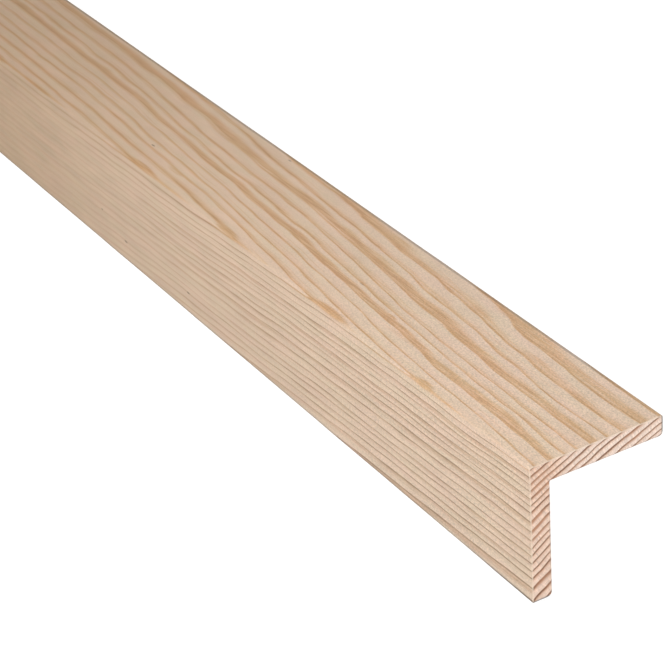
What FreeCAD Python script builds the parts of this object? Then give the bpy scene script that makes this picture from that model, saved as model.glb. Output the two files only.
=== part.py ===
import FreeCAD, Part
import math
import os

# Corner guard moulding: one length of planed pine with an L section, which
# covers the outside corner of a wall. It lies as it would on a level floor,
# outer corner up, each leg sloping down to its tip.
# Millimetres, +Z up, +Y along the stock. The origin is on the floor, in the
# middle of the length and of the width that the two legs cover.

# Driving dimensions of the stock
stock_length = 2400.0
right_leg_width = 34.0
left_leg_width = 34.0
right_leg_thickness = 5.0
left_leg_thickness = 5.0

# Radii of the edges along the stock, as the moulder leaves them
outer_corner_radius = 0.4
inner_corner_radius = 0.3
right_tip_outer_radius = 0.5
right_tip_inner_radius = 1.1
left_tip_outer_radius = 0.3
left_tip_inner_radius = 1.1


def section_corners():
    """Sharp corners of the L in its own square frame, each with its radius.

    The outer corner is at zero, the right leg runs along +X and the left
    leg along -Z.
    """
    right_back = -right_leg_thickness
    left_back = left_leg_thickness
    return [
        (0.0, 0.0, outer_corner_radius),
        (right_leg_width, 0.0, right_tip_outer_radius),
        (right_leg_width, right_back, right_tip_inner_radius),
        (left_back, right_back, inner_corner_radius),
        (left_back, -left_leg_width, left_tip_inner_radius),
        (0.0, -left_leg_width, left_tip_outer_radius),
    ]


def rounded_outline(corners):
    """Closed wire through the corners, with a tangent arc at each of them."""
    arcs = []
    for number, (x, z, radius) in enumerate(corners):
        here = FreeCAD.Vector(x, 0, z)
        before = FreeCAD.Vector(corners[number - 1][0], 0, corners[number - 1][1])
        following = corners[(number + 1) % len(corners)]
        after = FreeCAD.Vector(following[0], 0, following[1])
        back = (before - here).normalize()
        ahead = (after - here).normalize()
        half_angle = back.getAngle(ahead) / 2
        inward = (back + ahead).normalize()
        centre = here + inward * (radius / math.sin(half_angle))
        trim = radius / math.tan(half_angle)
        arcs.append((here + back * trim, centre - inward * radius, here + ahead * trim))

    edges = []
    for number, (start, middle, end) in enumerate(arcs):
        edges.append(Part.Arc(start, middle, end).toShape())
        next_start = arcs[(number + 1) % len(arcs)][0]
        edges.append(Part.LineSegment(end, next_start).toShape())
    return Part.Wire(edges)


def lying_angle():
    """Turn about +Y, in degrees, that sets the rounded inner edges of both
    tips on one level line."""
    right_x = right_leg_width - right_tip_inner_radius
    right_z = right_tip_inner_radius - right_leg_thickness
    left_x = left_leg_thickness - left_tip_inner_radius
    left_z = left_tip_inner_radius - left_leg_width
    across = right_x - left_x
    rise = right_z - left_z
    radius_step = left_tip_inner_radius - right_tip_inner_radius
    slope = math.atan2(rise, across)
    return math.degrees(slope + math.asin(radius_step / math.hypot(across, rise)))


def corner_guard():
    """The section, turned to its lying pose and run out to the stock length."""
    section = Part.Face(rounded_outline(section_corners()))
    section.rotate(FreeCAD.Vector(0, 0, 0), FreeCAD.Vector(0, 1, 0), lying_angle())
    reach = section.optimalBoundingBox(False)
    middle = (reach.XMin + reach.XMax) / 2
    section.translate(FreeCAD.Vector(-middle, -stock_length / 2, -reach.ZMin))
    return section.extrude(FreeCAD.Vector(0, stock_length, 0))


os.makedirs("parts", exist_ok=True)
guard = corner_guard()
guard.exportStep("parts/corner_guard.step")
print("corner_guard", "valid", guard.isValid(), "volume", round(guard.Volume, 1), "box", guard.BoundBox)
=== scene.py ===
import math

import bmesh
import bpy
from mathutils import Matrix, Vector


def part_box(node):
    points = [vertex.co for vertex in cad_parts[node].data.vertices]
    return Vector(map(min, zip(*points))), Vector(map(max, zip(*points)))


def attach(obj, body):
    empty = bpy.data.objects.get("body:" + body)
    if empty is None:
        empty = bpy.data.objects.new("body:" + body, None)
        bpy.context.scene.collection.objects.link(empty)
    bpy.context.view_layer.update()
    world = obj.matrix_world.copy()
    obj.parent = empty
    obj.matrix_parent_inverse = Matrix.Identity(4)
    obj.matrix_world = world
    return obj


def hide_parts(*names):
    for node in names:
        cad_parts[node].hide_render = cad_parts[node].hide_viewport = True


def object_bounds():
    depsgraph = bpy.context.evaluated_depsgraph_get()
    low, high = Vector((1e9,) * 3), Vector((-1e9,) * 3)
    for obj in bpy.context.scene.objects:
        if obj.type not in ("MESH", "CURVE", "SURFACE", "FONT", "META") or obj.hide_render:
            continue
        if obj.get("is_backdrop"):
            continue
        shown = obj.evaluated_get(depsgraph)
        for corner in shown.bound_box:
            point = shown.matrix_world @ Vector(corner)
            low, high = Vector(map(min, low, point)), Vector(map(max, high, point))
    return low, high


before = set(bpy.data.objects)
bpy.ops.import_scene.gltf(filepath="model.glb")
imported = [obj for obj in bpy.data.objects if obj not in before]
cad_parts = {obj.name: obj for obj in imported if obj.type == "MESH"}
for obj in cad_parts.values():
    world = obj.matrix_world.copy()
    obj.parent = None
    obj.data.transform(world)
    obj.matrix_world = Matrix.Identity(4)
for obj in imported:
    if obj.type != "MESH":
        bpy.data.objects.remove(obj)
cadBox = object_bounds()
mm = 0.001
white = (1, 1, 1, 1)


def feed(tree, socket, value):
    # a socket takes what another node gives, or a fixed value
    if isinstance(value, bpy.types.NodeSocket):
        tree.links.new(value, socket)
    else:
        socket.default_value = value


def maths(tree, operation, *values):
    node = tree.nodes.new("ShaderNodeMath")
    node.operation = operation
    for socket, value in zip(node.inputs, values):
        feed(tree, socket, value)
    return node.outputs[0]


def times(tree, value, *others):
    for other in others:
        value = maths(tree, "MULTIPLY", value, other)
    return value


def vectorMaths(tree, operation, *values):
    node = tree.nodes.new("ShaderNodeVectorMath")
    node.operation = operation
    for socket, value in zip(node.inputs, values):
        feed(tree, socket, value)
    return node.outputs["Value"] if operation == "LENGTH" else node.outputs["Vector"]


def scaleVector(tree, vector, size):
    node = tree.nodes.new("ShaderNodeVectorMath")
    node.operation = "SCALE"
    feed(tree, node.inputs[0], vector)
    feed(tree, node.inputs["Scale"], size)
    return node.outputs[0]


def ease(tree, value, low, high):
    # 0 below low, 1 above high, smooth between; low may be the higher one
    node = tree.nodes.new("ShaderNodeMapRange")
    node.interpolation_type = "SMOOTHSTEP"
    for name, given in (("Value", value), ("From Min", low), ("From Max", high)):
        feed(tree, node.inputs[name], given)
    return node.outputs[0]


def pushBy(tree, value, wave, reach):
    # the value, pushed up and down by a wave that runs from 0 to 1
    return maths(tree, "MULTIPLY_ADD", maths(tree, "SUBTRACT", wave, 0.5), reach, value)


def blendValues(tree, share, first, second):
    node = tree.nodes.new("ShaderNodeMix")
    node.data_type = "FLOAT"
    for socket, value in zip((node.inputs[0], node.inputs[2], node.inputs[3]), (share, first, second)):
        feed(tree, socket, value)
    return node.outputs[0]


def splitUp(tree, vector):
    node = tree.nodes.new("ShaderNodeSeparateXYZ")
    feed(tree, node.inputs[0], vector)
    return node.outputs[0], node.outputs[1], node.outputs[2]


def putTogether(tree, x, y, z):
    node = tree.nodes.new("ShaderNodeCombineXYZ")
    for socket, value in zip(node.inputs, (x, y, z)):
        feed(tree, socket, value)
    return node.outputs[0]


def noise(tree, place, sizes, seed, detail=2.0, roughness=0.5):
    # even noise, 0 to 1, whose grains are about so many millimetres
    node = tree.nodes.new("ShaderNodeTexNoise")
    node.noise_dimensions = "4D"
    shares = tuple(1 / size for size in sizes)
    feed(tree, node.inputs["Vector"], vectorMaths(tree, "MULTIPLY", place, shares))
    for name, value in (("W", seed), ("Scale", 1.0), ("Detail", detail), ("Roughness", roughness)):
        node.inputs[name].default_value = value
    return node.outputs[0]


def curveThrough(tree, value, points):
    # straight runs through (x, y) points, both from 0 to 1
    node = tree.nodes.new("ShaderNodeFloatCurve")
    curve = node.mapping.curves[0]
    while len(curve.points) < len(points):
        curve.points.new(0.5, 0.5)
    for point, (x, y) in zip(curve.points, points):
        point.location = (x, y)
        point.handle_type = "VECTOR"
    node.mapping.update()
    feed(tree, node.inputs["Value"], value)
    return node.outputs[0]


def colour(tree, share, stops):
    node = tree.nodes.new("ShaderNodeValToRGB")
    ramp = node.color_ramp
    while len(ramp.elements) < len(stops):
        ramp.elements.new(0.5)
    for element, (at, tint) in zip(ramp.elements, stops):
        element.position = at
        element.color = (*tint, 1)
    feed(tree, node.inputs[0], share)
    return node.outputs[0]


def mixColours(tree, share, first, second, kind="MIX"):
    node = tree.nodes.new("ShaderNodeMix")
    node.data_type = "RGBA"
    node.blend_type = kind
    for socket, value in zip((node.inputs[0], node.inputs[6], node.inputs[7]), (share, first, second)):
        feed(tree, socket, value)
    return node.outputs[2]


def layOver(tree, share, tint, glaze):
    # the tint, seen through so much of a thin coloured glaze
    return mixColours(tree, share, tint, glaze, "MULTIPLY")


def darken(tree, tint, share):
    return layOver(tree, 1.0, tint, putTogether(tree, share, share, share))


# The guard. Sizes are millimetres on the square section: its outer corner is at zero, the right leg runs
# along +X and the left leg along -Z, and it is turned to lie once it is made. A place is given as across,
# along and up, and along starts at the near end.
pineGuard = {
    "legWidth": 34.0,
    "thickness": 5.0,
    "lie": 45.0,                   # degrees, from the square section to the floor
    "outerCorner": (0.4, 4),       # radius of each long edge, and how many flats go round it
    "innerCorner": (0.3, 2),
    "rightTipOuter": (0.5, 6),
    "rightTipInner": (1.1, 6),
    "leftTipOuter": (0.3, 4),
    "leftTipInner": (1.1, 6),
    "sawnEdge": 0.12,              # what the saw leaves broken round each end
    "smoothBelow": 30.0,           # degrees; sharper edges stay crisp

    # the mesh that carries the relief
    "gridAcross": 0.46,            # spacing across the grain
    "gridKeepOff": 1.7,            # no cuts this near a long edge, which has its own
    "zones": [                     # runs of the stock, and the cuts across each
        (150.0, 60), (150.0, 45), (500.0, 60), (1600.0, 99),
    ],
    "endFacing": 0.5,              # a face or point that looks this much along the stock is on an end

    # the flat map for baking, which is 1 by 1
    "mapGap": 0.004,
    "mapAlong": 0.992,             # the whole length
    "mapAcross": 0.0059,           # for each millimetre across a leg
    "mapEnd": 0.0135,              # for each millimetre on the two ends
    "mapEndGap": 0.01,

    # how the tree grew round this piece
    "pith": (71.0, -129.0),        # the tree's middle
    "drift": [(17.5, 1800.0), (-0.7, 260.0)],  # how the pith wanders along the stock: reach, wave
    "rings": [                     # radius where each year ends, and how strong its dark wood is
        (109.0, 0.8), (111.0, 0.7), (112.9, 0.9), (114.9, 0.8), (116.9, 0.8), (119.0, 1.0),
        (121.6, 1.1), (123.9, 0.8), (125.5, 0.7), (127.1, 0.8), (128.7, 0.7), (130.0, 0.8),
        (131.7, 0.6), (133.6, 0.8), (135.6, 1.0), (137.4, 0.9), (138.8, 0.7), (140.4, 1.2),
        (141.9, 0.7), (143.3, 0.7), (144.8, 1.2), (146.3, 0.5), (148.0, 0.6), (149.5, 0.8),
        (151.5, 0.8), (153.2, 0.8), (154.8, 0.9), (156.6, 0.7), (158.5, 0.9), (160.5, 0.7),
    ],
    "strongest": 1.5,              # the strength that the curve's top stands for
    "yearStep": 37.0,              # keeps the noise of one year apart from the next one's
    "bends": [                     # places where the rings bulge: reach across and along, and how much
        (0, 0, -4, 14, 35, -0.5), (24, 22, 0, 14, 40, -0.5), (0, 48, -20, 18, 50, 0.2),
        (0, 142, -3, 18, 60, 0.7), (0, 218, -3, 18, 55, 0.4), (0, 180, -30, 20, 90, -0.8),
        (40, 0, -12, 22, 60, -2.4), (15, 42, 0, 7, 52, -0.65), (6, 38, 0, 4.5, 45, -0.4),
        (30, 43, 0, 6, 20, -0.45), (34.5, 20, 0, 5, 26, -0.55), (0, 40, -13, 13, 160, -0.38),
        (1, 0, -31.5, 7, 28, -0.4), (20, 175, 0, 14, 60, -0.4),
    ],
    "wobble": [                    # smaller waves: reach, size across, size along
        (0.7, 14.0, 46.0), (0.8, 5.0, 16.0), (0.1, 0.8, 5.0),
    ],
    "wobbleSeed": 3.7,

    # the dark wood, as shares of one year's growth
    "darkFrom": 0.92,              # the band reaches back from here
    "darkRise": 0.4,               # and takes this long to come in
    "lineRise": (0.78, 0.95),      # the sharp line at the end of the band
    "darkFall": (1.0, 0.94),       # how soon the next spring follows
    "plainShare": 0.4,             # the sharp line's share in the relief
    "splitLine": (12.3, 0.8, 0.3, 0.09),  # thin lines in a year: seed, middle, wander, half their width
    "spareLine": (15.9, 0.45, 0.6, 0.07),
    "thinFade": 0.3,               # the middle of a thin line that is full, as a share of its width
    "thinWander": (1.0, 60.0, 1.0),  # sizes of the noise that moves it
    "thinLength": (1.0, 30.0, 1.0),  # and of the noise that breaks it up
    "thinThere": (0.45, 0.62),     # from where that noise begins to let it in
    "spareShare": 0.28,            # how dark the spare line is
    "darkMean": 0.93,              # what the fine streaks leave of the dark wood, taken together
    "rightKept": 0.82,             # what stays of the dark wood on the right leg where it is faint
    "rightBlotch": 0.14,           # how blotchy the right leg is
    "tanShare": 0.5,               # how brown the early wood is by autumn

    # the relief
    "planedOff": 0.004,            # keeps every surface just inside the stock's own size
    "reliefDepth": 0.035,          # how far the soft early wood lies below the dark
    "sawDepth": 0.06,

    "patterns": {                  # noise: sizes across, along and up, seed, detail, roughness
        "fur": ((0.7, 0.7, 0.7), 2.2, 3.0, 0.5),
        "swell": ((1.0, 34.0, 1.0), 8.1, 2.0, 0.5),
        "streaks": ((0.35, 14.0, 0.35), 4.4, 3.0, 0.65),
        "fine": ((0.34, 9.0, 0.34), 7.7, 2.0, 0.5),
        "blush": ((3.0, 14.0, 3.0), 2.9, 2.0, 0.5),
        "fibre": ((0.25, 8.0, 0.25), 1.4, 3.0, 0.6),
        "mottle": ((1.6, 7.0, 1.6), 5.5, 3.0, 0.5),
        "nap": ((0.33, 0.5, 0.33), 9.2, 2.0, 0.5),
        "blotch": ((3.5, 22.0, 3.5), 6.1, 2.0, 0.5),
        "rays": ((0.22, 1.0, 2.6), 6.6, 2.0, 0.5),   # round the ring and outwards
        "pores": ((0.25, 0.25, 0.25), 3.1, 2.0, 0.5),
    },
    "evenOut": (0.3, 0.7),         # stretches a noise to its full range

    "runs": {                      # where a change begins and where it is full
        "ontoRight": (-1.4, -0.5),       # across plus up: from the left leg's look to the right leg's
        "fainter": (40.0, 240.0),        # along
        "clearAgain": (620.0, 420.0),
        "later": (20.0, 110.0),
        "nearEnd": (70.0, 20.0),
        "farAlong": (170.0, 260.0),
        "browner": (20.0, 300.0),
        "fairAgain": (320.0, 560.0),
        "smoother": (20.0, 170.0),
        "belowCorner": (-3.0, -9.0),     # up
        "leftTip": (-33.0, -33.6),
        "leftTipNear": (30.0, 12.0),     # along
        "rightTip": (32.8, 33.3),        # across
        "rightTipFar": (10.0, 24.0),     # along
        "endBand": (0.3, 0.9),           # shares of a year, on the near end
        "endBrown": (0.4, 0.8),
        "endWarm": (12.0, 5.0),          # across
        "endWarmUp": (-14.0, -6.0),      # up
        "outerEdge": (0.45, 0.15),       # distance from the edge
        "innerEdge": (0.4, 0.05),
        "tipEdge": (0.6, 0.15),
    },
    "changes": {                   # a value before its change and when the change is full
        "leftEdge": (0.62, 0.47),        # the sharp line's share on the left leg, later along
        "rightEdge": (0.85, 0.25),       # and on the right leg, in strong rings
        "broad": (1.15, 1.37),           # how far the band reaches back, later along on the right leg
        "uneven": (1.0, 0.4),            # how much that varies
        "soft": (0.0, 0.25),             # these three where the lines are faint
        "ragged": (0.5, 0.15),
        "crisp": (0.7, 0.2),
        "splitTone": (1.0, 0.4),         # these five are how dark it is, times the rest
        "nearLeftTone": (1.0, 1.2),
        "farLeftTone": (1.0, 0.55),
        "rightTone": (0.95, 1.12),
        "leftKept": (0.62, 0.22),
        "amberStreaks": (0.62, 1.32),    # how amber a mark is, in fine streaks
        "brownLeft": (1.0, 0.2),         # how much of the browning and painted shade stays, past its stretch
        "brownFarLeft": (0.82, 1.04),
        "gritLeft": (1.0, 0.1),          # how much of the fibres and the nap stays
        "leftBlotch": (0.22, 0.36),
        # how strong the painted shade on the left tip is, and the grey on the right tip
        "leftTipSoil": (0.5, 1.0),
        "rightTipSoil": (0.25, 0.65),
        "endEdge": (0.87, 0.62),         # where the sharp line starts on the sawn ends, in strong rings
        "endStrength": (0.72, 1.02),     # how dark the lines are there
        "endRays": (0.7, 1.3),
        "endWarmShare": (0.7, 1.0),
        "rayTone": (0.55, 1.45),         # how light the sawn wood is
        "poreTone": (0.7, 1.3),
        "sheen": (0.55, 0.67),           # roughness, by the fibres
        "darkSheen": (0.0, -0.1),
    },
    "grit": {                      # how much each noise lightens and darkens the planed wood
        "fibre": 0.16,
        "nap": 0.95,
        "mottle": 0.16,
    },
    "tints": {
        "right": [                       # by how dark the wood is
            (0.0, (0.745, 0.573, 0.437)),
            (0.4, (0.704, 0.497, 0.333)),
            (0.75, (0.66, 0.426, 0.25)),
            (1.0, (0.565, 0.345, 0.187)),
        ],
        "left": [
            (0.0, (0.75, 0.584, 0.448)),
            (0.45, (0.625, 0.44, 0.305)),
            (1.0, (0.36, 0.235, 0.15)),
        ],
        "sawn": [
            (0.0, (0.86, 0.685, 0.58)),
            (0.35, (0.67, 0.45, 0.325)),
            (1.0, (0.23, 0.12, 0.075)),
        ],
        "paleAmber": (0.665, 0.44, 0.255, 1),
        "deepAmber": (0.60, 0.36, 0.185, 1),
        "brownRing": (0.47, 0.245, 0.15, 1),
        # partly the saw's pale broken fibres, partly a painted highlight on the ends' outer edges
        "sawnOuterEdge": (0.84, 0.68, 0.53, 1),
        # painted shade inside the ends' inner edges and along their tips
        "sawnSoil": (0.24, 0.22, 0.20, 1),
        "tan": (0.95, 0.90, 0.84, 1),    # this and the rest are laid over what is there
        "yellower": (0.98, 1.0, 0.975, 1),
        "pinker": (1.015, 0.985, 0.995, 1),
        # browner and darker: partly the wood's own colour, partly painted shade away from the near end
        "browner": (0.88, 0.805, 0.70, 1),
        # painted shade on the left tip, also greying the right tip
        "tipSoil": (0.42, 0.43, 0.46, 1),
        "warmEnd": (0.935, 0.85, 0.79, 1),
    },

    # marks: a place, half the length and the width, and how strong
    "flecks": [
        (8.5, 182.2, 0, 1.2, 0.35, 0.5), (32.2, 152.2, 0, 1.0, 0.35, 0.4),
        (13.1, 86.0, 0, 1.3, 0.25, 0.35), (0, 152.4, -27.8, 1.1, 0.4, 0.45),
        (0, 187.6, -28.0, 1.2, 0.45, 0.45), (0, 200.8, -23.7, 0.8, 0.35, 0.35),
    ],
    "amber": [                     # most of them on the outer corner
        (0.8, 40.5, 0, 4.5, 1.4, 0.85), (0.8, 80.0, 0, 10.0, 1.5, 1.0),
        (0.9, 128.5, 0, 7.0, 1.4, 0.9), (0.7, 173.0, 0, 9.0, 1.4, 0.85),
        (10.7, 69.2, 0, 2.6, 0.5, 0.9), (6.0, 165.0, 0, 5.0, 0.9, 0.5),
        (17.9, 50.0, 0, 15.0, 1.0, 0.55), (16.0, 8.0, 0, 12.0, 1.0, 0.45),
        (7.7, 60.0, 0, 9.0, 0.9, 0.4), (31.8, 52.0, 0, 9.0, 1.0, 0.45),
        (18.6, 66.0, 0, 10.0, 0.9, 0.6), (21.9, 100.0, 0, 14.0, 0.8, 0.5),
        (30.2, 102.0, 0, 12.0, 1.0, 0.5), (13.5, 120.0, 0, 14.0, 0.9, 0.35),
        (0, 262.0, 0, 8.0, 1.5, 0.8), (0, 371.0, 0, 11.0, 1.4, 0.8),
        (0, 533.0, 0, 7.0, 1.6, 0.8),
    ],
    "brownRings": [                # where the dark wood is broad on the near end
        (1.8, 0, -13.2, 40.0, 3.6, 1.0), (1.8, 0, -16.6, 40.0, 3.2, 0.9),
        (3.0, 0, -4.6, 40.0, 5.0, 0.95), (3.0, 0, -29.0, 40.0, 3.4, 0.7),
        (12.0, 0, -4.0, 40.0, 3.0, 0.5), (26.0, 0, -1.5, 40.0, 4.0, 0.6),
    ],
    "markEdge": (1.0, 0.35),       # a mark fades out from the second to the first, as shares of its size

    # the sawn end
    "meanRing": 135.0,             # radius at which the rays keep their size
    "raySway": 0.25,               # how far they push the rings to and fro
    "endLineShare": 0.65,          # the sharp line's share
    "endLineFull": 0.85,
    "brownShare": 0.9,             # how far the wood takes on the colour of each
    "outerShare": 0.7,
    "innerShare": 0.5,

    # the surface
    "sawnRoughness": 0.85,
    "gloss": 0.3,
    "bump": 0.6,
    "bumpDepth": 0.03,             # fibres and nap that are too fine for the mesh
}


def run(tree, value, name):
    # 0 where the named run begins, 1 where it is full
    return ease(tree, value, *pineGuard["runs"][name])


def change(tree, share, name):
    # the named value, by how far its change has gone
    before, after = pineGuard["changes"][name]
    return maths(tree, "MULTIPLY_ADD", share, after - before, before)


def pattern(tree, place, name):
    return noise(tree, place, *pineGuard["patterns"][name])


def awayFrom(tree, place, middle, wide, long):
    # 0 in the middle of a mark or a bend, 1 on its rim
    away = vectorMaths(tree, "SUBTRACT", place, middle)
    return vectorMaths(tree, "LENGTH", vectorMaths(tree, "DIVIDE", away, (wide, long, wide)))


def patches(tree, place, marks):
    # how much of each point lies in the marks
    found = 0.0
    for across, along, up, long, wide, share in marks:
        away = awayFrom(tree, place, (across, along, up), wide, long)
        found = maths(tree, "MULTIPLY_ADD", ease(tree, away, *pineGuard["markEdge"]), share, found)
    return found


def squareSection(tree, position, corner):
    # from the piece as it lies, in metres, to the square section, in millimetres
    turn = tree.nodes.new("ShaderNodeVectorRotate")
    turn.rotation_type = "Y_AXIS"
    turn.invert = True
    feed(tree, turn.inputs["Vector"], vectorMaths(tree, "SUBTRACT", position, tuple(corner)))
    turn.inputs["Angle"].default_value = math.radians(pineGuard["lie"])
    return scaleVector(tree, turn.outputs[0], 1 / mm)


def treeRings(tree, place):
    # the year that the wood at each place grew in, and how far through that year
    x, y, z = splitUp(tree, place)
    pithX, pithZ = pineGuard["pith"]
    for reach, wave in pineGuard["drift"]:
        turn = maths(tree, "SINE", times(tree, y, 2 * math.pi / wave))
        pithX = maths(tree, "MULTIPLY_ADD", turn, reach, pithX)
    fromX = maths(tree, "SUBTRACT", x, pithX)
    fromZ = maths(tree, "SUBTRACT", z, pithZ)
    radius = vectorMaths(tree, "LENGTH", putTogether(tree, fromX, 0.0, fromZ))
    for number, (reach, across, along) in enumerate(pineGuard["wobble"]):
        seed = pineGuard["wobbleSeed"] + number
        wave = noise(tree, place, (across, along, across), seed, detail=1.0)
        radius = pushBy(tree, radius, wave, reach)
    for across, along, up, wide, long, bulge in pineGuard["bends"]:
        away = awayFrom(tree, place, (across, along, up), wide, long)
        radius = maths(tree, "MULTIPLY_ADD", ease(tree, away, 1.0, 0.0), bulge, radius)

    # two curves turn the radius into years, and a year into its strength
    rings = pineGuard["rings"]
    strongest = pineGuard["strongest"]
    first = rings[0][0]
    span = rings[-1][0] - first
    count = float(len(rings) - 1)
    endings = [((ends - first) / span, n / count) for n, (ends, strength) in enumerate(rings)]
    strengths = [(n / count, strength / strongest) for n, (ends, strength) in enumerate(rings)]
    share = maths(tree, "DIVIDE", maths(tree, "SUBTRACT", radius, first), span)
    years = times(tree, curveThrough(tree, share, endings), count)
    year = maths(tree, "CEIL", years)
    strength = curveThrough(tree, maths(tree, "DIVIDE", year, count), strengths)
    return {
        "radius": radius,
        "fromX": fromX,
        "fromZ": fromZ,
        "through": maths(tree, "FRACT", years),  # 0 in spring, 1 in autumn
        "strength": times(tree, strength, strongest),
        "byYear": putTogether(tree, 0.0, y, times(tree, year, pineGuard["yearStep"])),
    }


def thinLine(tree, rings, seed, middle, wander, half):
    # a thin line inside each year, which wanders and comes and goes along the stock
    shift = noise(tree, rings["byYear"], pineGuard["thinWander"], seed)
    away = maths(tree, "SUBTRACT", rings["through"], pushBy(tree, middle, shift, wander))
    line = ease(tree, maths(tree, "ABSOLUTE", away), half, half * pineGuard["thinFade"])
    there = noise(tree, rings["byYear"], pineGuard["thinLength"], seed + 1, detail=1.0)
    return times(tree, line, ease(tree, there, *pineGuard["thinThere"]))


def darkWood(tree, rings, place, edgeShare, ragged=0.0, soft=0.0, broad=1.1, uneven=1.0):
    # the autumn wood of each ring: a band that comes in streaks, and the sharp line where it ends
    swell = pushBy(tree, 0.5, pattern(tree, rings["byYear"], "swell"), uneven)
    wide = times(tree, rings["strength"], times(tree, swell, broad))
    start = maths(tree, "SUBTRACT", pineGuard["darkFrom"], wide)
    through = rings["through"]
    if ragged:
        through = pushBy(tree, through, pattern(tree, place, "streaks"), ragged)
    band = ease(tree, through, start, maths(tree, "ADD", start, pineGuard["darkRise"]))
    rises, full = [maths(tree, "SUBTRACT", at, soft) for at in pineGuard["lineRise"]]
    edge = ease(tree, rings["through"], rises, full)
    ends, falls = pineGuard["darkFall"]
    fall = ease(tree, rings["through"], ends, maths(tree, "SUBTRACT", falls, soft))
    return times(tree, blendValues(tree, edgeShare, band, edge), fall)


def pickFaces(piece, wanted):
    # selects the faces that pass, by their middle and normal, in millimetres
    mesh = bmesh.from_edit_mesh(piece.data)
    for face in mesh.faces:
        face.select_set(False)
    for face in mesh.faces:
        if wanted(face.calc_center_median() / mm, face.normal):
            face.select_set(True)
    bmesh.update_edit_mesh(piece.data)


def pickEdges(piece, wanted):
    # selects the edges that pass, by their two ends, in millimetres, and their faces
    mesh = bmesh.from_edit_mesh(piece.data)
    for edge in mesh.edges:
        edge.select_set(False)
    for edge in mesh.edges:
        if wanted(edge.verts[0].co / mm, edge.verts[1].co / mm, edge.link_faces):
            edge.select_set(True)
    bmesh.update_edit_mesh(piece.data)


def cutAcross(place, normal):
    bpy.ops.mesh.select_all(action="SELECT")
    bpy.ops.mesh.bisect(plane_co=place, plane_no=normal)


def modelGuard(length):
    leg = pineGuard["legWidth"]
    thick = pineGuard["thickness"]
    mostly = 0.9  # of a normal, or of a run of the stock
    nearly = 0.01  # millimetres
    about = 1.0  # millimetres, more than the sawn edge takes off a run
    bpy.ops.object.select_all(action="DESELECT")
    block = thick * mm
    blockMiddle = (block / 2, 0, -block / 2)
    bpy.ops.mesh.primitive_cube_add(size=1, location=blockMiddle, scale=(block, length, block))
    guard = bpy.context.object
    guard.name = "planedPineGuard"
    bpy.ops.object.transform_apply(location=True, rotation=False, scale=True)

    # the two legs grow out of the corner block
    bpy.ops.object.mode_set(mode="EDIT")
    bpy.ops.mesh.select_mode(type="FACE")
    reach = (leg - thick) * mm
    pickFaces(guard, lambda middle, normal: normal.x > mostly)
    bpy.ops.mesh.extrude_region_move(TRANSFORM_OT_translate={"value": (reach, 0, 0)})
    pickFaces(guard, lambda middle, normal: normal.z < -mostly and middle.x < thick)
    bpy.ops.mesh.extrude_region_move(TRANSFORM_OT_translate={"value": (0, 0, -reach)})

    # the long edges get the moulder's radii
    bpy.ops.mesh.select_mode(type="EDGE")
    longEdges = [
        (0, 0, "outerCorner"),
        (leg, 0, "rightTipOuter"),
        (leg, -thick, "rightTipInner"),
        (thick, -thick, "innerCorner"),
        (thick, -leg, "leftTipInner"),
        (0, -leg, "leftTipOuter"),
    ]
    for x, z, name in longEdges:
        radius, flats = pineGuard[name]

        def onLongEdge(start, end, faces):
            return all(math.hypot(point.x - x, point.z - z) < nearly for point in (start, end))

        pickEdges(guard, onLongEdge)
        bpy.ops.mesh.bevel(offset=radius * mm, offset_type="OFFSET", segments=flats, affect="EDGES")

    # the saw's edge round both ends
    def onRim(start, end, faces):
        facing = sorted(abs(face.normal.y) for face in faces)
        return len(facing) == 2 and facing[0] < pineGuard["endFacing"] < facing[1]

    pickEdges(guard, onRim)
    broken = pineGuard["sawnEdge"] * mm
    bpy.ops.mesh.bevel(offset=broken, offset_type="OFFSET", segments=1, affect="EDGES")

    # a fine grid for the relief: across the section, then along the stock
    keepOff = pineGuard["gridKeepOff"]
    gridded = leg - 2 * keepOff
    cuts = round(gridded / pineGuard["gridAcross"])
    for number in range(cuts + 1):
        at = (keepOff + gridded * number / cuts) * mm
        cutAcross((at, 0, 0), (1, 0, 0))
        cutAcross((0, 0, -at), (0, 0, 1))
    zoneEnd = -length / 2
    for zoneRun, steps in pineGuard["zones"][:-1]:
        zoneEnd += zoneRun * mm
        cutAcross((0, zoneEnd, 0), (0, 1, 0))
    zoneStart = -length / 2 / mm
    for zoneRun, steps in pineGuard["zones"]:
        zoneMiddle = zoneStart + zoneRun / 2

        def alongZone(start, end, faces):
            spans = abs(start.y - end.y) > mostly * zoneRun
            return spans and abs((start.y + end.y) / 2 - zoneMiddle) < about

        pickEdges(guard, alongZone)
        bpy.ops.mesh.subdivide(number_cuts=steps)
        zoneStart += zoneRun
    bpy.ops.object.mode_set(mode="OBJECT")
    print("modelled the section:", len(guard.data.polygons), "faces")
    return guard


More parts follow.
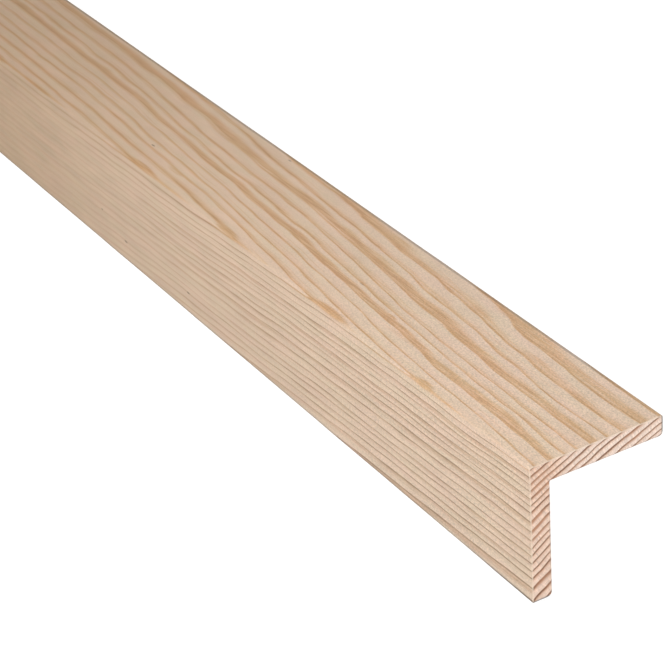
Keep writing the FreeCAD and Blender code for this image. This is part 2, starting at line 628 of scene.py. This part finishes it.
def mapFlat(guard, length):
    # six strips as long as the stock, one above the other, and over them a row of two legs for each end
    leg = pineGuard["legWidth"]
    thick = pineGuard["thickness"]
    gap = pineGuard["mapGap"]
    wide = pineGuard["mapAcross"]
    endWide = pineGuard["mapEnd"]
    longFaces = [  # name, where it starts and ends across its leg, and whether its strip runs backward
        ("top", 0, leg, True),
        ("rightTip", 0, thick, True),
        ("rightBack", thick, leg, False),
        ("leftBack", thick, leg, True),
        ("leftTip", 0, thick, False),
        ("side", 0, leg, False),
    ]
    strips = {}
    height = gap
    for name, start, end, backward in longFaces:
        strips[name] = (height, start, end, backward)
        height += (end - start) * wide + gap
    rowStep = thick * endWide + pineGuard["mapEndGap"]
    layer = guard.data.uv_layers.new(name="OFBake")
    for face in guard.data.polygons:
        middle = face.center / mm
        normal = face.normal
        near = normal.y < 0
        level = abs(normal.z) > abs(normal.x)
        if level:
            name = "top" if normal.z > 0 else "rightBack" if middle.z > -leg / 2 else "leftTip"
        else:
            name = "side" if normal.x < 0 else "leftBack" if middle.x < leg / 2 else "rightTip"
        low, start, end, backward = strips[name]
        row = height if near else height + rowStep
        for loop in face.loop_indices:
            at = guard.data.vertices[guard.data.loops[loop].vertex_index].co / mm
            if abs(normal.y) < pineGuard["endFacing"]:
                reach = at.x if level else -at.z
                across = end - reach if backward else reach - start
                along = gap + pineGuard["mapAlong"] * (at.y * mm / length + 0.5)
                spot = (along, low + wide * across)
            elif middle.z > -thick:
                across = leg - at.x if near else at.x
                spot = (gap + endWide * across, row - endWide * at.z)
            else:
                across = at.x if near else thick - at.x
                spot = (2 * gap + endWide * (leg - thick - at.z), row + endWide * across)
            layer.data[loop].uv = spot
    used = height + rowStep + thick * endWide
    print("mapped the surface, up to", round(used, 3), "of the map's height")


def layDown(guard):
    # turned on its two tips and set in the CAD box; returns where the sharp outer corner comes to
    guard.rotation_euler = (0, math.radians(pineGuard["lie"]), 0)
    bpy.ops.object.transform_apply(location=False, rotation=True, scale=False)
    points = [vertex.co for vertex in guard.data.vertices]
    low = Vector([min(point[axis] for point in points) for axis in range(3)])
    high = Vector([max(point[axis] for point in points) for axis in range(3)])
    boxLow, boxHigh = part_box("corner_guard")
    shift = Vector(((boxLow.x + boxHigh.x - low.x - high.x) / 2, 0, boxLow.z - low.z))
    guard.location = shift
    bpy.ops.object.transform_apply(location=True, rotation=False, scale=False)
    corner = Vector((shift.x, boxLow.y, shift.z))
    print("laid it down, outer corner at", tuple(round(value / mm, 3) for value in corner))
    return corner


def raiseGrain(guard, corner):
    # the planed faces keep the dark wood proud, and the sawn ends are a little furry
    tree = bpy.data.node_groups.new("raisedGrain", "GeometryNodeTree")
    tree.interface.new_socket("Geometry", in_out="INPUT", socket_type="NodeSocketGeometry")
    tree.interface.new_socket("Geometry", in_out="OUTPUT", socket_type="NodeSocketGeometry")
    taken = tree.nodes.new("NodeGroupInput")
    given = tree.nodes.new("NodeGroupOutput")
    position = tree.nodes.new("GeometryNodeInputPosition").outputs[0]
    normal = tree.nodes.new("GeometryNodeInputNormal").outputs[0]
    place = squareSection(tree, position, corner)
    dark = darkWood(tree, treeRings(tree, place), place, pineGuard["plainShare"])
    soft = maths(tree, "SUBTRACT", 1.0, dark)
    planedOff = pineGuard["planedOff"] * mm
    depth = maths(tree, "MULTIPLY_ADD", soft, pineGuard["reliefDepth"] * mm, planedOff)
    alongStock = maths(tree, "ABSOLUTE", splitUp(tree, normal)[1])
    atEnd = maths(tree, "GREATER_THAN", alongStock, pineGuard["endFacing"])
    sawn = times(tree, pattern(tree, place, "fur"), atEnd, pineGuard["sawDepth"] * mm)
    depth = maths(tree, "ADD", depth, sawn)
    move = tree.nodes.new("GeometryNodeSetPosition")
    feed(tree, move.inputs["Geometry"], taken.outputs[0])
    feed(tree, move.inputs["Offset"], scaleVector(tree, normal, times(tree, depth, -1.0)))
    feed(tree, given.inputs[0], move.outputs[0])
    relief = guard.modifiers.new("raised grain", "NODES")
    relief.node_group = tree
    bpy.ops.object.modifier_apply(modifier=relief.name)
    print("raised the grain:", pineGuard["reliefDepth"], "mm over the soft wood")


def longGrain(tree, place, rings):
    # the planed faces; some values follow the leg, and onRight is 0 on the left one and 1 on the right
    x, y, z = splitUp(tree, place)
    tints = pineGuard["tints"]
    onRight = run(tree, maths(tree, "ADD", x, z), "ontoRight")
    onLeft = maths(tree, "SUBTRACT", 1.0, onRight)
    clearAgain = run(tree, y, "clearAgain")
    faint = times(tree, run(tree, y, "fainter"), clearAgain)
    later = run(tree, y, "later")
    laterRight = times(tree, onRight, later)
    farAlong = run(tree, y, "farAlong")
    farLeft = times(tree, onLeft, farAlong)
    nearLeft = times(tree, onLeft, run(tree, y, "nearEnd"))
    fine = ease(tree, pattern(tree, place, "fine"), *pineGuard["evenOut"])

    # the dark wood, with a pale thin line in some rings and a dark one between others
    leftEdge = change(tree, later, "leftEdge")
    rightEdge = change(tree, rings["strength"], "rightEdge")
    dark = darkWood(
        tree, rings, place,
        edgeShare=blendValues(tree, onRight, leftEdge, rightEdge),
        ragged=change(tree, faint, "ragged"),
        soft=change(tree, faint, "soft"),
        broad=change(tree, laterRight, "broad"),
        uneven=change(tree, laterRight, "uneven"),
    )
    split = thinLine(tree, rings, *pineGuard["splitLine"])
    spare = thinLine(tree, rings, *pineGuard["spareLine"])
    crisp = change(tree, faint, "crisp")
    dark = times(tree, dark, pushBy(tree, pineGuard["darkMean"], fine, crisp))
    dark = times(tree, dark, change(tree, split, "splitTone"))
    dark = maths(tree, "MAXIMUM", dark, times(tree, spare, pineGuard["spareShare"]))

    # how strong it is along each leg
    leftKept = change(tree, run(tree, z, "belowCorner"), "leftKept")
    kept = blendValues(tree, onRight, leftKept, pineGuard["rightKept"])
    dark = times(
        tree, dark,
        change(tree, nearLeft, "nearLeftTone"),
        change(tree, farLeft, "farLeftTone"),
        blendValues(tree, onRight, 1.0, change(tree, later, "rightTone")),
        blendValues(tree, faint, 1.0, kept),
    )
    leftTint = colour(tree, dark, tints["left"])
    rightTint = colour(tree, dark, tints["right"])
    tint = mixColours(tree, onRight, leftTint, rightTint)
    amber = times(tree, patches(tree, place, pineGuard["amber"]), change(tree, fine, "amberStreaks"))
    amberTint = mixColours(tree, fine, tints["paleAmber"], tints["deepAmber"])
    tint = mixColours(tree, maths(tree, "MINIMUM", amber, 1.0), tint, amberTint)

    # early wood browns slowly towards the dark wood, and some stretches are pinker or yellower
    tint = layOver(tree, times(tree, rings["through"], pineGuard["tanShare"]), tint, tints["tan"])
    blush = ease(tree, pattern(tree, place, "blush"), *pineGuard["evenOut"])
    tint = layOver(tree, 1.0, tint, mixColours(tree, blush, tints["yellower"], tints["pinker"]))

    # one stretch is browner and darker: partly the wood's own colour, partly painted shade that deepens
    # away from the near end
    brownAndShadedShare = times(
        tree, run(tree, y, "browner"),
        change(tree, run(tree, y, "fairAgain"), "brownLeft"),
        change(tree, farLeft, "brownFarLeft"),
    )
    tint = layOver(tree, brownAndShadedShare, tint, tints["browner"])

    # fibres and the nap, weaker where the lines are faint, then the coarser mottle and blotches
    grits = pineGuard["grit"]
    fibre = pattern(tree, place, "fibre")
    nap = pattern(tree, place, "nap")
    grit = pushBy(tree, pushBy(tree, 0.0, fibre, grits["fibre"]), nap, grits["nap"])
    smooth = times(tree, run(tree, y, "smoother"), clearAgain)
    grit = times(tree, grit, change(tree, smooth, "gritLeft"))
    grit = pushBy(tree, grit, pattern(tree, place, "mottle"), grits["mottle"])
    leftBlotch = change(tree, farAlong, "leftBlotch")
    blotchy = blendValues(tree, onRight, leftBlotch, pineGuard["rightBlotch"])
    grit = pushBy(tree, grit, pattern(tree, place, "blotch"), blotchy)
    tint = darken(tree, tint, maths(tree, "ADD", grit, 1.0))
    tint = darken(tree, tint, maths(tree, "SUBTRACT", 1.0, patches(tree, place, pineGuard["flecks"])))

    # painted shade along the left tip, where its rounding turns away from the light, strongest near the
    # end; the right tip is greyed too, more so further along
    leftShade = change(tree, run(tree, y, "leftTipNear"), "leftTipSoil")
    rightGrey = change(tree, run(tree, y, "rightTipFar"), "rightTipSoil")
    leftTip = times(tree, run(tree, z, "leftTip"), leftShade)
    rightTip = times(tree, run(tree, x, "rightTip"), rightGrey)
    tint = layOver(tree, maths(tree, "MAXIMUM", rightTip, leftTip), tint, tints["tipSoil"])
    return tint, dark, fibre, nap


def endGrain(tree, place, rings):
    # the sawn ends: rings cut square, with rays across them
    x, y, z = splitUp(tree, place)
    tints = pineGuard["tints"]
    angle = maths(tree, "ARCTAN2", rings["fromZ"], rings["fromX"])
    aroundPith = times(tree, angle, pineGuard["meanRing"])
    rays = pattern(tree, putTogether(tree, aroundPith, 0.0, rings["radius"]), "rays")
    pores = pattern(tree, place, "pores")
    through = pushBy(tree, rings["through"], rays, pineGuard["raySway"])
    band = run(tree, through, "endBand")
    edge = ease(tree, through, change(tree, rings["strength"], "endEdge"), pineGuard["endLineFull"])
    fall = ease(tree, rings["through"], *pineGuard["darkFall"])
    lines = times(
        tree, blendValues(tree, pineGuard["endLineShare"], band, edge), fall,
        change(tree, rings["strength"], "endStrength"),
        change(tree, rays, "endRays"),
    )
    tint = colour(tree, lines, tints["sawn"])
    warmShare = change(tree, run(tree, z, "endWarmUp"), "endWarmShare")
    tint = layOver(tree, times(tree, run(tree, x, "endWarm"), warmShare), tint, tints["warmEnd"])
    broadRings = patches(tree, place, pineGuard["brownRings"])
    brown = times(tree, run(tree, through, "endBrown"), fall, broadRings, pineGuard["brownShare"])
    tint = mixColours(tree, brown, tint, tints["brownRing"])
    tint = darken(tree, tint, change(tree, rays, "rayTone"))
    tint = darken(tree, tint, change(tree, pores, "poreTone"))

    # a pale line inside the outer edges, partly the saw's broken fibres and partly a painted highlight
    # where the edges catch the light, and painted shade inside the other edges, darkest along the tips
    down = times(tree, z, -1.0)
    outer = run(tree, maths(tree, "MINIMUM", x, down), "outerEdge")
    tint = mixColours(tree, times(tree, outer, pineGuard["outerShare"]), tint, tints["sawnOuterEdge"])
    pastX, pastDown = [maths(tree, "SUBTRACT", pineGuard["thickness"], way) for way in (x, down)]
    leftX, leftDown = [maths(tree, "SUBTRACT", pineGuard["legWidth"], way) for way in (x, down)]
    inner = run(tree, maths(tree, "MAXIMUM", pastX, pastDown), "innerEdge")
    tips = run(tree, maths(tree, "MINIMUM", leftX, leftDown), "tipEdge")
    paintedShade = maths(tree, "MAXIMUM", times(tree, inner, pineGuard["innerShare"]), tips)
    return mixColours(tree, paintedShade, tint, tints["sawnSoil"]), rays


def planedPine(corner):
    material = bpy.data.materials.new("planedPine")
    material.use_nodes = True
    tree = material.node_tree
    shader = tree.nodes["Principled BSDF"]
    position = tree.nodes.new("ShaderNodeTexCoord").outputs["Object"]
    place = squareSection(tree, position, corner)
    rings = treeRings(tree, place)
    planed, dark, fibre, nap = longGrain(tree, place, rings)
    sawn, rays = endGrain(tree, place, rings)
    facing = tree.nodes.new("ShaderNodeNewGeometry").outputs["True Normal"]
    alongStock = maths(tree, "ABSOLUTE", splitUp(tree, facing)[1])
    atEnd = maths(tree, "GREATER_THAN", alongStock, pineGuard["endFacing"])
    feed(tree, shader.inputs["Base Color"], mixColours(tree, atEnd, planed, sawn))

    # the dark wood takes the planer's shine, and the sawn ends stay dull
    sheen = maths(tree, "ADD", change(tree, fibre, "sheen"), change(tree, dark, "darkSheen"))
    roughness = blendValues(tree, atEnd, sheen, pineGuard["sawnRoughness"])
    feed(tree, shader.inputs["Roughness"], roughness)
    shader.inputs["Specular IOR Level"].default_value = pineGuard["gloss"]
    bump = tree.nodes.new("ShaderNodeBump")
    bump.inputs["Strength"].default_value = pineGuard["bump"]
    bump.inputs["Distance"].default_value = pineGuard["bumpDepth"] * mm
    height = maths(tree, "ADD", maths(tree, "ADD", fibre, nap), dark)
    feed(tree, bump.inputs["Height"], blendValues(tree, atEnd, height, rays))
    feed(tree, shader.inputs["Normal"], bump.outputs[0])
    print("mixed the planed pine:", len(tree.nodes), "nodes")
    return material


length = cadBox[1].y - cadBox[0].y
guard = modelGuard(length)
mapFlat(guard, length)
corner = layDown(guard)
raiseGrain(guard, corner)
bpy.ops.object.shade_smooth_by_angle(angle=math.radians(pineGuard["smoothBelow"]))
guard.data.materials.append(planedPine(corner))
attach(guard, "root")
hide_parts("corner_guard")

# The floor, in metres
floor = {
    "size": 80.0,
    "below": 0.0003,           # just clear of the tips
    "tint": (0.2, 0.2, 0.2, 1),
    "roughness": 0.9,
    "glow": 0.92,
}
bpy.ops.mesh.primitive_plane_add(size=floor["size"], location=(0, 0, -floor["below"]))
ground = bpy.context.object
ground.name = "paleFloor"
paint = bpy.data.materials.new("paleFloor")
paint.use_nodes = True
paintShader = paint.node_tree.nodes["Principled BSDF"]
paintShader.inputs["Base Color"].default_value = floor["tint"]
paintShader.inputs["Roughness"].default_value = floor["roughness"]
paintShader.inputs["Emission Color"].default_value = white
paintShader.inputs["Emission Strength"].default_value = floor["glow"]
ground.data.materials.append(paint)
ground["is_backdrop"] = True
print("set the floor")

# Light: a white room, a soft box over each end, one in front of each, and a long one over the rest
light = {
    "room": 0.3,
    "softBoxes": [             # name, place, aim, width, length, power
        ("softBoxAbove", (-0.01, -1.16, 0.36), (-0.01, -1.16, 0.0), 0.25, 0.25, 0.92),
        ("softBoxFront", (0.0, -1.70, 0.30), (0.0, -1.20, 0.01), 0.3, 0.3, 1.1),
        ("softBoxLong", (0.0, 0.375, 0.42), (0.0, 0.375, 0.0), 0.3, 1.65, 2.0),
        ("softBoxFarAbove", (0.01, 1.16, 0.36), (0.01, 1.16, 0.0), 0.25, 0.25, 0.7),
        ("softBoxFarFront", (0.0, 1.70, 0.30), (0.0, 1.20, 0.01), 0.3, 0.3, 1.1),
    ],
}
world = bpy.data.worlds.new("whiteRoom")
bpy.context.scene.world = world
world.use_nodes = True
roomLight = world.node_tree.nodes["Background"]
roomLight.inputs["Color"].default_value = white
roomLight.inputs["Strength"].default_value = light["room"]
for name, place, aim, width, long, power in light["softBoxes"]:
    bpy.ops.object.light_add(type="AREA", location=place)
    box = bpy.context.object
    box.name = name
    box.data.shape = "RECTANGLE"
    box.data.size = width
    box.data.size_y = long
    box.data.energy = power
    box.rotation_euler = (Vector(aim) - box.location).to_track_quat("-Z", "Y").to_euler()
print("set", len(light["softBoxes"]), "soft boxes")

# The camera looks down on the near end and is rolled, so that the right leg lies level in the picture
camera = {
    "place": (0.03066, -1.54744, 0.39071),
    "look": (-0.06021, 0.75602, -0.65178),
    "roll": -58.81,
    "lens": 133.86,
    "sensor": 36.0,
    "clipStart": 0.01,
}
bpy.ops.object.camera_add(location=camera["place"])
eye = bpy.context.object
look = Vector(camera["look"]).to_track_quat("-Z", "Y").to_matrix()
eye.rotation_euler = (look @ Matrix.Rotation(math.radians(camera["roll"]), 3, "Z")).to_euler()
eye.data.lens = camera["lens"]
eye.data.sensor_width = camera["sensor"]
eye.data.clip_start = camera["clipStart"]
bpy.context.scene.camera = eye

scene = bpy.context.scene
scene.view_settings.view_transform = "Standard"
scene.view_settings.look = "None"
print("set the camera, lens", camera["lens"])

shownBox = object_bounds()
corners = {
    "cad": [list(cadBox[0]), list(cadBox[1])],
    "visual": [list(shownBox[0]), list(shownBox[1])],
}
for name, found in corners.items():
    print(name, "box:", [[round(value / mm, 3) for value in point] for point in found])
